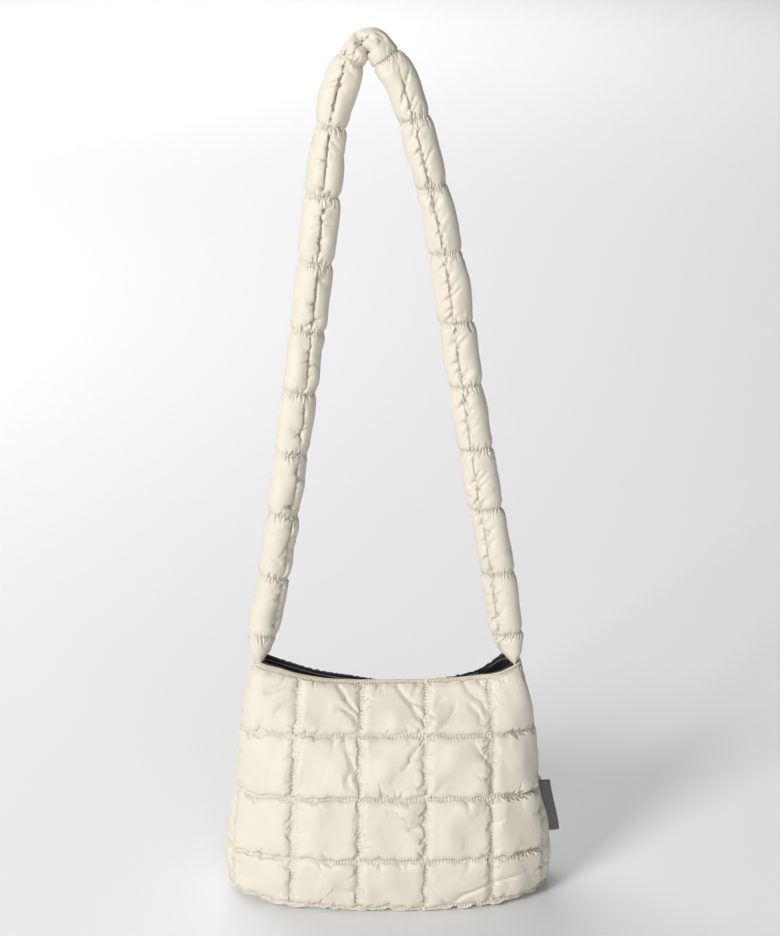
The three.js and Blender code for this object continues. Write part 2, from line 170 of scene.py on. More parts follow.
# Route of the strap in the plane of the side seams, from the left rim corner to the right one:
# x, z, and how far its long seam faces round from the front to the inside, in degrees
STRAP_ROUTE = np.array((
    (-105.0, 202, 90), (-105.2, 211, 78), (-101.3, 236, 56), (-92.2, 279, 50),
    (-84.4, 332, 46), (-69.7, 434, 30), (-56.2, 537, 14), (-43.6, 641, -4),
    (-38.6, 664, -8), (-32.0, 685, -8), (-25.2, 697.5, -10), (-18.2, 705.3, -16),
    (-10.5, 706.5, -36), (-2.6, 696.4, -32), (8.9, 679.7, -12), (16.2, 663, 0),
    (22.4, 644, 6), (45.8, 545, 10), (62.2, 438, 16), (80.0, 335, 26),
    (90.0, 283, 32), (97.5, 232, 40), (102.7, 211, 75), (105.0, 202, 90),
))
ROUTE_SPAN = 60  # points from one row to the next
APEX_ROW = 11
# Pinches, as distances along the strap from its left end and back from its right end
PINCH_LEFT = (25, 77, 131, 183, 234, 284, 339, 392, 446, 499)
PINCH_RIGHT = (27, 80, 136, 187, 240, 292, 348, 401, 455, 506)
FIRST_CELLS, SEGMENT_CELLS, LAST_CELLS = 20, 42, 23
STRAP_CELLS = 88  # round the strap
STRAP_CROWD = 0.5  # of the cells at the long seam
STRAP_SPACING = 1.1
STRAP_NEEDLE = 4

# Section of the strap
STRAP_FULL = (14.4, 12.0)  # half width and half thickness
STRAP_PINCH = (11.8, 9.4)
STRAP_EDGE = 11.0  # from a pinch to its full section
SWELL, SWELL_WAVES = 0.18, (25, 90)  # how unevenly it is filled
STRAP_GROOVE = 4.6
GROOVE_ANGLE = (0.14, 0.035)  # of the groove's shoulders and slit
SLIT_SHARE = 0.68  # of the groove's depth
# By distance from the top: where the groove shows, how deep it is, and the share of the strap's width
GROOVE_SHOWN = (0, 6, 38, 50), (1, 0, 0, 1)
DEEP_GROOVE = (-62, -46, -3, 3, 60), (1.25, 1.7, 1.7, 1, 0.7)
SLIM = (-98, -78, -66, -48, 35, 55, 170, 190, 205), (1, 0.88, 0.88, 1, 1, 0.89, 0.88, 0.96, 1)
CRUSH_SHARE, CRUSH_REACH = 0.3, 24.0
# By distance above the rim corner: the groove's share, the filling's, and half sizes of the section
GROOVE_END = (4, 14), (0, 1)
END_SWELL = (12, 26), (0, 1)
END_ABOVE = (0.0, 0.6, 4.0, 11.0, 25.0)
END_WIDE = (7.6, 8.0, 9.5, 12.5, 12.2)
END_THICK = (1.5, 1.7, 4.5, 8.5, 9.6)
END_PINNED = 5
TAB_LEVEL, TAB_INSET, TAB_WIDE, TAB_THICK = 3.8, 3.2, 8.0, 1.1

# Creases of the strap, with the ranges of their length, depth and width
STRAP_WRINKLES = 110
STRAP_WRINKLE = ((7, 18), (0.4, 1.5), (1.8, 3.2))
STRAP_WRINKLE_TILT = 0.4
# Out from the long seam: range of how many each side of a segment, and the tilt's mean and spread
SEAM_LEFT = ((3, 7), (0.1, 0.3))
SEAM_RIGHT = ((5, 9), (0.62, 0.15))
SEAM_WRINKLE = ((7, 19), (0.8, 2.4), (1.8, 3.8))
SEAM_CLEAR = 4  # from a pinch
APEX_MARGIN = 10
GATHERS = 15  # on each side of a pinch
GATHER = ((3, 10), (0.8, 2.6), (1.3, 2.5))
GATHER_TILT = 0.25
# One deep crease across the top, and how much more than half the way round it goes
APEX_CREASE, APEX_CREASE_REACH, APEX_CREASE_TURN, APEX_CREASE_ROUND = 6.5, 7.0, 0.9, 0.3

# Cloth of the strap: round each pinch, and along the long seam
STRAP_SPARE = (0.42, 0.12)
STRAP_SPARE_REACH = (6.0, 4.0)
STRAP_LOOSE_REACH = (7.0, 3.0)
STRAP_RIPPLE_FAR = 0.1
STRAP_FOLD = 0.6
STRAP_LEAST = -2.4

# Base, from the middle of its underside round its edge to the middle of its top: share of the edge's
# outline, and height
BASE_PROFILE = (
    (0.3, 0), (0.6, 0), (0.8, 0), (0.9, 0.05), (0.95, 0.25), (0.98, 0.7), (0.995, 1.4), (1, 2.2),
    (0.995, 3.0), (0.98, 3.7), (0.94, 4.5), (0.86, 5.6), (0.7, 6.6), (0.4, 7),
)
BASE_POINTS = 128
BASE_INSET = 2.0
BASE_FLAT = 0.8  # of the edge's rise, taken up by the padding
BASE_PUCKER = 0.7
BASE_PUCKER_NOISE = (5.0, 12, 40)  # spacing, and shortest and longest waves
BASE_PUCKER_FROM, BASE_PUCKER_FADE = 0.8, 0.15  # shares of the outline
BASE_PUCKER_BELOW = 2

# Lining
LINING_POINTS, LINING_ROWS = 240, 44
LINING_THICK = 0.8
LINING_SIDE = 4.8  # inset from the wall's stitch line at the sides
LINING_FACE = 3.2  # and at the faces
LINING_RIM_FACE = 0.6  # and where it is sewn to the rim
LINING_FOOT = 0.2
LINING_CLOSE = 0.45  # how many levels below the rim it starts to close in
LINING_FLOOR = ((0.3, 8.2), (0.6, 8.2), (0.85, 8.2), (0.95, 8.4))  # share of the foot's outline, height
LINING_TOP = (0.1, 2.5)  # above the rim's own line, at the front and back
LINING_CROWD = 0.7
LINING_WRINKLE, LINING_WRINKLE_NOISE = 0.5, (4.0, 16, 60)
LINING_RIM_FLAT = 0.8  # of the wrinkles, at the rim
LINING_FRAY, LINING_FRAY_NOISE = 0.3, (2.4, 5, 12)
LINING_INWARD = np.array([0.4, 1, 0])  # from the sides, and from the faces
LINING_GIRTH = 560
LINING_SEAM = -3  # ring of its line of stitches

# Label
LABEL_LOW, LABEL_HIGH = 1.05, 1.98  # levels of its ends on the right side seam
LABEL_CLEAR, LABEL_DEEP, LABEL_LAYER = 2.0, 9.2, 0.45
LABEL_NOSE = 1.02  # of its fold, by depth
LABEL_GAP = (0.25, 0.35)  # at the seam, and more half-way out
LABEL_CURL = 2.0
LABEL_WAVE = (0.5, 5)  # height, and angle from end to end
LABEL_ROWS, LABEL_COLUMNS = 30, 12
LABEL_CELL = 0.8

# Stitches
STITCH_RADIUS, STITCH_LIFT = 0.31, 1.0
STITCH_STAND = 0.6  # off the cloth, by radius
STITCH_FLAT = 0.75
STITCH_SIDES = 5
STITCH_SHARES = (0.2, 0.3, 0.5, 0.7, 0.8)  # places along a stitch
STITCH_THICK = (0.35, 0.9, 1.0, 0.9, 0.35)  # and how thick it is there


# Numbers and fields

def spline(values, t):
    """Uniform Catmull-Rom through numbers or arrays, with t counted in list places."""
    t = np.asarray(t, float)
    stack = np.stack([np.broadcast_to(np.asarray(v, float), t.shape) for v in values])
    last = len(values) - 1
    i = np.clip(np.floor(t).astype(int), 0, last - 1)
    a, b, c, d = (np.take_along_axis(stack, np.clip(i + k, 0, last)[None], 0)[0] for k in (-1, 0, 1, 2))
    f = t - i
    return b + 0.5 * f * (c - a + f * (2 * a - 5 * b + 4 * c - d + f * (3 * (b - c) + d - a)))


def smooth_noise(rng, shape, spacing, shortest, longest):
    """Seeded noise on a grid with waves between two lengths, at unit spread."""
    down = np.fft.fftfreq(shape[0], spacing)[:, None]
    across = np.fft.rfftfreq(shape[1], spacing)[None, :]
    wave = np.hypot(down, across)
    keep = (wave > 1 / longest) & (wave < 1 / shortest)
    field = np.fft.irfft2(np.fft.rfft2(rng.standard_normal(shape)) * keep, s=shape)
    return field / field.std()


def along_route(points):
    return np.concatenate([[0], np.cumsum(np.linalg.norm(np.diff(points, axis=0), axis=1))])


def unit(vectors):
    return vectors / np.maximum(np.linalg.norm(vectors, axis=-1, keepdims=True), 1e-9)


# Cloth

def pair(array, down, across):
    """The two views of a grid that a link of so many rows and columns joins."""
    rows, columns = array.shape[:2]
    if across >= 0:
        return array[: rows - down, : columns - across], array[down:, across:]
    return array[: rows - down, -across:], array[down:, : columns + across]


def mean_along(field, axis):
    """The mean of a field over a run of cells along one axis, round each cell."""
    size = 2 * MEAN_REACH + 1
    margin = [(0, 0), (0, 0)]
    margin[axis] = (MEAN_REACH + 1, MEAN_REACH)
    total = np.moveaxis(np.cumsum(np.pad(field, margin, mode="edge"), axis=axis), axis, 0)
    return np.moveaxis((total[size:] - total[:-size]) / size, 0, axis)


def settle(start, base, normal, height, least, loose, pinned, lengths, open_fold):
    """Cloth over filling. Links return to their lengths and folds stay open. The filling holds each
    point at its height, or where the cloth is loose along a line of stitches, the mean along that line,
    so that puckers form. Loose shares and lengths are given across the grid and up it."""
    cloth, base, normal, height, loose_across, loose_up, across, up = (
        field.astype(np.float32) for field in (start, base, normal, height, *loose, *lengths)
    )
    free = (~pinned).astype(np.float32)[..., None]
    slant = np.hypot((across[:-1] + across[1:]) / 2, (up[:, :-1] + up[:, 1:]) / 2)
    links = (
        (0, 1, across, False),
        (1, 0, up, False),
        (1, 1, slant, False),
        (1, -1, slant, False),
        (0, 2, open_fold * (across[:, :-1] + across[:, 1:]), True),
        (2, 0, open_fold * (up[:-1] + up[1:]), True),
    )
    before = cloth.copy()
    for step in range(STEPS):
        short = height - np.einsum("ijk,ijk->ij", cloth - base, normal)
        held = loose_across * mean_along(short, 1) + loose_up * mean_along(short, 0)
        held += (1 - loose_across - loose_up) * short
        move = (FIRM * held)[..., None] * normal
        for down, right, length, only_opens in links:
            a, b = pair(cloth, down, right)
            gap = b - a
            size = np.sqrt(np.einsum("ijk,ijk->ij", gap, gap)) + 1e-6
            share = 0.5 * (1 - length / size)
            if only_opens:
                share = np.minimum(share, 0)
            gap *= share[..., None]
            toward, back = pair(move, down, right)
            toward += gap
            back -= gap
        carry = CARRY * (cloth - before) if step < STEPS * CARRY_UNTIL else 0
        before = cloth.copy()
        cloth = cloth + free * (LINK_STEP * move + carry)
        stand = np.einsum("ijk,ijk->ij", cloth - base, normal)
        cloth += free * np.maximum(least - stand, 0)[..., None] * normal
    return cloth.astype(float)


def drawn_up(distance, reach):
    """How much of its spare cloth a line of stitches draws up at a distance from it."""
    return np.exp(-((distance / reach) ** SPARE_FALL))


def rise_of(distance, reach):
    """How much of its height the padding has at a distance from a line of stitches."""
    return np.sin(np.pi / 2 * np.clip(distance / reach, 0, 1)) ** RISE_BLUNT


def crease_of(away, width):
    """The form of a crease across its length, with nearly flat sides and a sharp bottom."""
    return np.maximum(0, 1 - away / width) ** CREASE_SHARP


def press(height, right, up, start, way, length, depth, width):
    """Presses a tapering crease into a field of heights."""
    near = (np.abs(right - start[0]) < length + width) & (np.abs(up - start[1]) < length + width)
    x, y = right[near] - start[0], up[near] - start[1]
    along = np.clip(x * way[0] + y * way[1], 0, length)
    away = np.hypot(x - along * way[0], y - along * way[1])
    height[near] -= depth * np.cos(np.pi / 2 * along / length) * crease_of(away, width)


def first_puckers(rng, shape, spacing, nearest, far):
    ripple = RIPPLE * smooth_noise(rng, shape, spacing, *RIPPLE_WAVES)
    return ripple * (far + np.exp(-nearest / RIPPLE_REACH))


def uneven_share(rng, shape, spacing):
    return np.clip(1 + UNEVEN * smooth_noise(rng, shape, spacing, *UNEVEN_WAVES), *UNEVEN_RANGE)


def taut_lengths(points):
    return [TAUT * np.linalg.norm(np.diff(points, axis=axis), axis=-1) for axis in (1, 0)]


# Meshes

def make_piece(name, points, quads, triangles=(), uv=None):
    mesh = bpy.data.meshes.new(name)
    faces = [list(map(int, f)) for f in (*quads, *triangles)]
    mesh.from_pydata(((points + PLACE) * MM).tolist(), [], faces)
    mesh.shade_smooth()
    if uv is not None:
        layer = mesh.uv_layers.new(name="cloth")
        corner = np.empty(len(mesh.loops), int)
        mesh.loops.foreach_get("vertex_index", corner)
        layer.data.foreach_set("uv", (uv[corner] * MM).ravel())
    mesh.update()
    piece = bpy.data.objects.new(name, mesh)
    bpy.context.collection.objects.link(piece)
    return piece


def closed_sheet(outer, inner, coarse):
    """Points and faces of a fine outer grid, a coarser inner grid, and the strip that joins them."""
    inner = inner[::coarse, ::coarse]
    quads, edges, start = [], [], 0
    for grid, order in ((outer, 1), (inner, -1)):
        index = start + np.arange(grid[..., 0].size).reshape(grid.shape[:2])
        cells = np.stack([index[:-1, :-1], index[:-1, 1:], index[1:, 1:], index[1:, :-1]], -1)
        quads.append(cells.reshape(-1, 4)[:, ::order])
        edges.append((index[0], index[-1][::-1], index[:, 0][::-1], index[:, -1]))
        start += index.size
    triangles = []
    half = coarse // 2
    for fine_edge, back_edge in zip(*edges):
        for k, (a, b) in enumerate(zip(back_edge[:-1], back_edge[1:])):
            run = fine_edge[k * coarse: (k + 1) * coarse + 1]
            triangles += [(run[m + 1], run[m], a if m < half else b) for m in range(coarse)]
            triangles.append((run[half], a, b))
    points = np.concatenate([outer.reshape(-1, 3), inner.reshape(-1, 3)])
    return points, np.concatenate(quads), triangles


def skin_over(rings):
    """Points and faces of a closed solid over rings of points. A ring of one point closes an end."""
    quads, triangles, start = [], [], 0
    for low, high in zip(rings[:-1], rings[1:]):
        after = start + len(low)
        count = max(len(low), len(high))
        k = np.arange(count)
        turned = (k + 1) % count
        if len(low) == 1:
            triangles += np.stack([np.full(count, start), after + turned, after + k], -1).tolist()
        elif len(high) == 1:
            triangles += np.stack([start + k, start + turned, np.full(count, after)], -1).tolist()
        else:
            quads += np.stack([start + k, start + turned, after + turned, after + k], -1).tolist()
        start = after
    return np.concatenate(rings), quads, triangles


def with_ends(rings):
    return [rings[0].mean(0, keepdims=True), *rings, rings[-1].mean(0, keepdims=True)]


# Walls

CELLS = [STRIP_CELLS, *[COLUMN_CELLS] * COLUMNS, STRIP_CELLS]
LINE_AT = np.concatenate([[0], np.cumsum(CELLS)])  # side seams and upright lines
WALL_SHAPE = (ROWS * ROW_CELLS + 1, LINE_AT[-1] + 1)
ROW_AT, COLUMN_AT = (np.arange(count) for count in WALL_SHAPE)
LEVEL_AT = np.array([HEM_ROWS, *(np.arange(1, ROWS) * ROW_CELLS), ROW_AT[-1] - RIM_ROWS])
HEM = (ROW_AT < LEVEL_AT[0]) | (ROW_AT > LEVEL_AT[-1])
ROW_OF = ROW_AT / ROW_CELLS
COLUMN_OF = np.interp(COLUMN_AT, LINE_AT, np.arange(len(LINE_AT)) - 1.0)


def level(name, v):
    return spline(LEVELS[name], v)


def wall_points(v, share, facing, inset_side=0.0, inset_face=0.0):
    """Points of the wall at level v and at a share of its half width; facing is -1 at the front."""
    v, share = np.broadcast_arrays(np.asarray(v, float), np.asarray(share, float))
    square = level("square", v)
    side = np.abs(share)
    rounding = np.maximum(0, 1 - side ** square) ** (1 / square)
    half_width = level("half_width", v)
    place = share * (1 - inset_side / half_width)
    depth = spline([*LEVELS["half_depth"][:-1], np.interp(place, *MOUTH)], v)
    lift = np.interp(place, *(FRONT_LIFT if facing < 0 else BACK_LIFT))
    dip = -lift * np.clip(v - (ROWS - 1), 0, 1) ** 2
    if facing > 0:
        dip = dip + level("dip", v) * (1 - side ** 2)
    return np.stack([
        place * half_width,
        facing * (depth - inset_face) * rounding,
        level("z", v) + level("rise", v) * side ** 3 - dip,
    ], -1)


def level_line(v, facing, inset_side=0.0, inset_face=0.0):
    """Distances along the cloth of one level, 0 at the middle, and the points there."""
    share = np.sin(np.pi * (np.arange(LEVEL_SAMPLES + 1) / LEVEL_SAMPLES - 0.5))
    points = wall_points(v, -facing * share, facing, inset_side, inset_face)
    along = along_route(points)
    return along - along[LEVEL_SAMPLES // 2], points


def at_distance(along, points, distance):
    return np.stack([np.interp(distance, along, points[:, k]) for k in range(3)], -1)


def level_ring(v, count, inset_side, inset_face):
    """Points round a level of the body, anticlockwise from the left seam as seen from above."""
    ring = []
    for facing in (-1, 1):
        along, points = level_line(v, facing, inset_side, inset_face)
        ring.append(at_distance(along, points, np.linspace(along[0], along[-1], count // 2 + 1)[:-1]))
    return np.concatenate(ring)


def near_curve(column, row, ends, pitch):
    """Distances to a bent line through three places, shares along it, and what is on its left."""
    t = np.linspace(0, 1, FOLD_SAMPLES)
    x, y = (
        (1 - t) ** 2 * first + 2 * t * (1 - t) * (2 * middle - (first + last) / 2) + t ** 2 * last
        for first, middle, last in zip(*ends)
    )
    away = np.hypot(column[..., None] - x, row[..., None] - y) * pitch
    nearest = np.argmin(away, -1)
    left = column - x[nearest] < FOLD_SLANT * (row - y[nearest])
    return np.min(away, -1), t[nearest], left


def notched(base, normal):
    """The front's middle layer with its notches pressed in and its lower edge drawn up."""
    pitch = LEVELS["pitch"][0]
    stray, wave = END_NOTCH_ZIGZAG
    zigzag = stray * (4 * np.abs((COLUMN_OF * pitch / wave) % 1 - 0.5) - 1)
    for row, low, high, depth in END_NOTCHES:
        window = np.sin(np.pi * np.clip((COLUMN_OF - low) / (high - low), 0, 1)) ** END_NOTCH_BLUNT
        off_line = np.abs((ROW_OF[:, None] - row) * pitch - zigzag[None])
        across_line = np.maximum(0, 1 - off_line / END_NOTCH_REACH)
        base = base - depth * (across_line * window[None])[..., None] * normal
    low_down = np.clip(1 - ROW_AT / LIP_NOTCH_ROWS, 0, 1)
    for column in LIP_NOTCHES:
        window = np.maximum(0, 1 - np.abs(COLUMN_OF - column) * pitch / LIP_NOTCH_WIDE)
        base[..., 2] += LIP_NOTCH_HIGH * low_down[:, None] * window[None]
    return base


def wall_layer(facing, rng):
    """The middle layer of one wall: its points, normals, distances along its levels, and drift."""
    base = np.zeros((*WALL_SHAPE, 3))
    distance = np.zeros(WALL_SHAPE)
    for i, v in enumerate(ROW_OF):
        along, points = level_line(v, facing)
        lines = (np.arange(COLUMNS + 1) - COLUMNS / 2) * level("pitch", v) - facing * level("shift", v)
        if facing < 0:
            lines[-1] -= spline(LAST_LINE_BACK, v)
        lines = np.clip(lines, along[0] + STRIP_LEAST, along[-1] - STRIP_LEAST)
        distance[i] = np.interp(COLUMN_AT, LINE_AT, [along[0], *lines, along[-1]])
        base[i] = at_distance(along, points, distance[i])
    drift = smooth_noise(rng, WALL_SHAPE, WALL_SPACING, *DRIFT_WAVES)
    wander = smooth_noise(rng, WALL_SHAPE, WALL_SPACING, *WANDER_WAVES)
    across_way, up_way = np.gradient(base, axis=1), np.gradient(base, axis=0)
    normal = unit(np.cross(across_way, up_way))
    normal[:, [0, -1], 1] = 0
    normal = unit(normal)
    from_seam = np.clip(np.minimum(COLUMN_AT, COLUMN_AT[::-1]) / STRIP_CELLS, 0, 1)
    from_rim = np.clip(ROW_AT[::-1] / ROW_CELLS, 0, 1)
    inside = from_seam[None, :] * from_rim[:, None]
    base = base + (inside * wander * WANDER)[..., None] * (unit(across_way) + unit(up_way))
    base = base + (inside * np.maximum(drift, DRIFT_LEAST) * DRIFT)[..., None] * normal
    return notched(base, normal) if facing < 0 else base, normal, distance, drift


def wall_padding(facing, rng, distance, height_along, upright, flat_line, drift):
    """Heights of the padding above the middle layer, with its folds and small creases."""
    width = np.repeat(np.diff(distance[:, LINE_AT], axis=1), CELLS, axis=1)
    width = np.concatenate([width, width[:, -1:]], 1)
    row_height = spline([*PUFF_HEIGHT, PUFF_HEIGHT[-1]], ROW_OF)[:, None]
    full = row_height * np.clip(width / STRIP_FULL, STRIP_LEAST_SHARE, 1) * (1 + PUFF_DRIFT * drift)
    height = full * rise_of(upright, np.minimum(PUFF_EDGE, width / 2)) * rise_of(flat_line, PUFF_EDGE)
    grid_column, grid_row = np.meshgrid(COLUMN_OF, ROW_OF)
    for *ends, depth in FOLDS:
        if facing > 0:
            ends = [(BACK_MIRROR - column, row) for column, row in ends]
        away, share, left = near_curve(grid_column, grid_row, ends, LEVELS["pitch"][2])
        fade = np.sin(np.pi * (FOLD_START + (1 - FOLD_START) * share)) ** FOLD_BLUNT
        height *= 1 - depth / FOLD_FULL * fade * crease_of(away, np.where(left, *FOLD_WIDTH))
    for _ in range(RAYS):
        i = rng.integers(HEM_ROWS, len(ROW_AT) - HEM_ROWS)
        length, depth = rng.uniform(*RAY_LENGTH) * rng.uniform(*RAY_SHARE), rng.uniform(*RAY_DEPTH)
        tilt = rng.normal(0, RAY_TILT)
        if rng.random() < 0.5:
            i = LEVEL_AT[rng.integers(len(LEVEL_AT))]
            j = rng.integers(len(COLUMN_AT))
            way = (math.sin(tilt), math.cos(tilt) * rng.choice((-1, 1)))
        else:
            j = LINE_AT[rng.integers(1, len(LINE_AT) - 1)]
            way = (math.cos(tilt) * rng.choice((-1, 1)), math.sin(tilt))
        place = (distance[i, j], height_along[i, j])
        press(height, distance, height_along, place, way, length, depth, rng.uniform(*RAY_WIDTH))
    height[HEM] = HEM_HEIGHT * rise_of(flat_line[HEM], HEM_EDGE)
    return np.maximum(height, PUFF_LEAST) + STITCHED_HALF


def wall_stitched(base, normal):
    """Which places of a wall are pinned, and where each place lies if it is stitched down."""
    pinned = np.zeros(WALL_SHAPE, bool)
    pinned[LEVEL_AT] = True
    pinned[:, LINE_AT] = True
    pinned[HEM] = False
    pinned[[0, -1]] = pinned[:, [0, -1]] = True
    hole = np.zeros(WALL_SHAPE)
    hole[LEVEL_AT] = COLUMN_AT % NEEDLE_CELLS == 0
    hole[:, LINE_AT[1:-1]] = (ROW_AT % NEEDLE_CELLS == 0)[:, None]
    hole[HEM] = 0
    half = np.full(WALL_SHAPE, LINE_HALF)
    half[:, LINE_AT[1:-1]] = UPRIGHT_HALF
    half[LEVEL_AT[1:-1]] = LINE_HALF
    half[LEVEL_AT[[0, -1]]] = HEM_LINE_HALF
    half[[0, -1]] = half[:, [0, -1]] = STITCHED_HALF
    return pinned, base + (half - NEEDLE_DEPTH * hole)[..., None] * normal


def wall_panel(facing, rng):
    """One quilted wall, settled: its middle layer, normals, cloth and flat coordinates."""
    base, normal, distance, drift = wall_layer(facing, rng)
    up = np.linalg.norm(np.diff(base, axis=0), axis=-1)
    height_along = np.concatenate([np.zeros((1, len(COLUMN_AT))), np.cumsum(up, 0)])
    # Distances from each place to the nearest upright and level lines of stitches
    upright = np.min(np.abs(distance[..., None] - distance[:, LINE_AT][:, None, :]), -1)
    flat_line = np.min(np.abs(height_along[..., None] - height_along[LEVEL_AT].T[None]), -1)
    height = wall_padding(facing, rng, distance, height_along, upright, flat_line, drift)
    pinned, stitched = wall_stitched(base, normal)
    nearest = np.minimum(upright, flat_line)
    puckers = first_puckers(rng, WALL_SHAPE, WALL_SPACING, nearest, RIPPLE_FAR)
    start, goal = (base + field[..., None] * normal for field in (height + puckers, height))
    start[pinned] = goal[pinned] = stitched[pinned]
    spare = STITCH_SPARE * uneven_share(rng, WALL_SHAPE, WALL_SPACING)
    spare_across = spare * drawn_up(flat_line, STITCH_SPARE_REACH)
    spare_up = spare * drawn_up(upright, STITCH_SPARE_REACH)
    spare_across[HEM], spare_up[HEM] = HEM_SPARE, 0
    across, up = taut_lengths(goal)
    across = across * (1 + (spare_across[:, 1:] + spare_across[:, :-1]) / 2)
    up = up * (1 + (spare_up[1:] + spare_up[:-1]) / 2)
    loose_across = LOOSE * drawn_up(flat_line, LOOSE_REACH)
    loose_up = np.minimum(LOOSE * drawn_up(upright, LOOSE_REACH), LOOSE - loose_across)
    cloth = settle(
        start, base, normal, height, WALL_LEAST, (loose_across, loose_up), pinned, (across, up), WALL_FOLD,
    )
    return {"base": base, "normal": normal, "cloth": cloth, "uv": np.stack([distance, height_along], -1)}


def with_hems(rows):
    """The rows of a grid, with the end ones repeated for the rings that round the hems."""
    return np.concatenate([np.repeat(rows[:1], EDGE_ARC, 0), rows, np.repeat(rows[-1:], EDGE_ARC, 0)])


def wall_piece(name, wall):
    """The closed mesh of a settled wall: its cloth, rounded hems, and a plain inner face."""
    base, normal = wall["base"], wall["normal"]
    up_way = unit(np.gradient(base, axis=0))
    turn = np.pi * np.arange(1, EDGE_ARC + 1) / (EDGE_ARC + 1)

    def hem(i, away, behind):
        middle, radius = (STITCHED_HALF - behind) / 2, (STITCHED_HALF + behind) / 2
        return [
            base[i] + (middle + radius * np.cos(t)) * normal[i] + away * radius * np.sin(t) * up_way[i]
            for t in turn
        ]

    outer = np.stack([*hem(0, -1, STITCHED_HALF)[::-1], *wall["cloth"], *hem(-1, 1, RIM_BACK)])
    outer[..., 2] = np.maximum(outer[..., 2], 0)
    from_rim = np.clip(ROW_AT[::-1, None, None] / RIM_BACK_ROWS, 0, 1)
    inner = base - (RIM_BACK + (STITCHED_HALF - RIM_BACK) * from_rim) * normal
    uv = with_hems(wall["uv"])
    uv = np.concatenate([uv.reshape(-1, 2), uv[::COARSE, ::COARSE].reshape(-1, 2)])
    return make_piece(name, *closed_sheet(outer, with_hems(inner), COARSE), uv)


rng = np.random.default_rng(SEED)
front, back = wall_panel(-1, rng), wall_panel(1, rng)
front_panel, back_panel = wall_piece("front_quilt", front), wall_piece("back_quilt", back)


# Base

def seam_rise(x):
    return LEVELS["rise"][0] * np.abs(x / LEVELS["half_width"][0]) ** 3


def base_piece(rng):
    edge = level_ring(0, BASE_POINTS, BASE_INSET, BASE_INSET)
    pucker = smooth_noise(rng, (len(BASE_PROFILE), BASE_POINTS), *BASE_PUCKER_NOISE)
    rings = []
    for (scale, height), wave in zip(BASE_PROFILE, pucker):
        x, y = edge[:, 0] * scale, edge[:, 1] * scale
        near_edge = np.clip((scale - BASE_PUCKER_FROM) / BASE_PUCKER_FADE, 0, 1)
        drawn = BASE_PUCKER * np.abs(wave) * near_edge * (height < BASE_PUCKER_BELOW)
        rings.append(np.stack([x, y, height + np.maximum(0, seam_rise(x) - BASE_FLAT) + drawn], -1))
    points, quads, triangles = skin_over(with_ends(rings))
    return make_piece("base_pad", points, quads, triangles, points[:, :2])


base_pad = base_piece(rng)


# Lining

def lining_rings(thick):
    """Rings of the lining's cup from its floor to its rim, set in by a thickness."""
    rng = np.random.default_rng(SEED)
    wrinkle = smooth_noise(rng, (LINING_ROWS, LINING_POINTS), *LINING_WRINKLE_NOISE)
    frayed = smooth_noise(rng, (2, LINING_POINTS), *LINING_FRAY_NOISE)[0]
    half = LINING_POINTS // 2
    walls = []
    for i, up in enumerate(np.linspace(0, 1, LINING_ROWS) ** LINING_CROWD):
        v = LINING_FOOT + (ROWS - LINING_FOOT) * up
        close = np.clip((v - (ROWS - LINING_CLOSE)) / LINING_CLOSE, 0, 1)
        face = LINING_FACE + (LINING_RIM_FACE - LINING_FACE) * close + thick
        ring = level_ring(v, LINING_POINTS, LINING_SIDE + thick, face)
        ring[:half, 2] += LINING_TOP[0] * close
        ring[half:, 2] += LINING_TOP[1] * close + (LINING_FRAY * frayed[half:] if i == LINING_ROWS - 1 else 0)
        drawn_in = LINING_WRINKLE * np.abs(wrinkle[i]) * (1 - LINING_RIM_FLAT * close)
        walls.append(ring + unit(-ring * LINING_INWARD) * drawn_in[:, None])
    floor = []
    for scale, height in LINING_FLOOR:
        ring = walls[0] * np.array([scale, scale, 0])
        ring[:, 2] = height + thick + seam_rise(ring[:, 0])
        floor.append(ring)
    return [floor[0].mean(0, keepdims=True), *floor, *walls]


lining_inner = lining_rings(LINING_THICK)
lining_shell = [*lining_rings(0.0), *lining_inner[::-1]]
points, quads, triangles = skin_over(lining_shell)
round_it = np.concatenate([np.arange(len(ring)) / len(ring) * LINING_GIRTH for ring in lining_shell])
lining_cup = make_piece("lining_cup", points, quads, triangles, np.stack([round_it, points[:, 2]], -1))


# Strap

def strap_route():
    """Points along the strap's middle, their distances and their table rows."""
    knots = np.insert(STRAP_ROUTE[:, :2], 1, 0, axis=1)
    knots = np.concatenate([2 * knots[:1] - knots[1:2], knots, 2 * knots[-1:] - knots[-2:-1]])
    points, rows = [], []
    for i in range(len(STRAP_ROUTE) - 1):
        a, b, c, d = knots[i: i + 4]
        ab, bc, cd = (np.sqrt(np.linalg.norm(q - p)) for p, q in ((a, b), (b, c), (c, d)))
        leave = ((b - a) / ab - (c - a) / (ab + bc) + (c - b) / bc) * bc
        reach = ((c - b) / bc - (d - b) / (bc + cd) + (d - c) / cd) * bc
        last = i == len(STRAP_ROUTE) - 2
        t = (np.arange(ROUTE_SPAN + last) / ROUTE_SPAN)[:, None]
        square, cube = 3 * (c - b) - 2 * leave - reach, 2 * (b - c) + leave + reach
        points.append(b + t * leave + t ** 2 * square + t ** 3 * cube)
        rows.append(i + t[:, 0])
    points, rows = np.concatenate(points), np.concatenate(rows)
    along = along_route(points)
    return points, along, rows


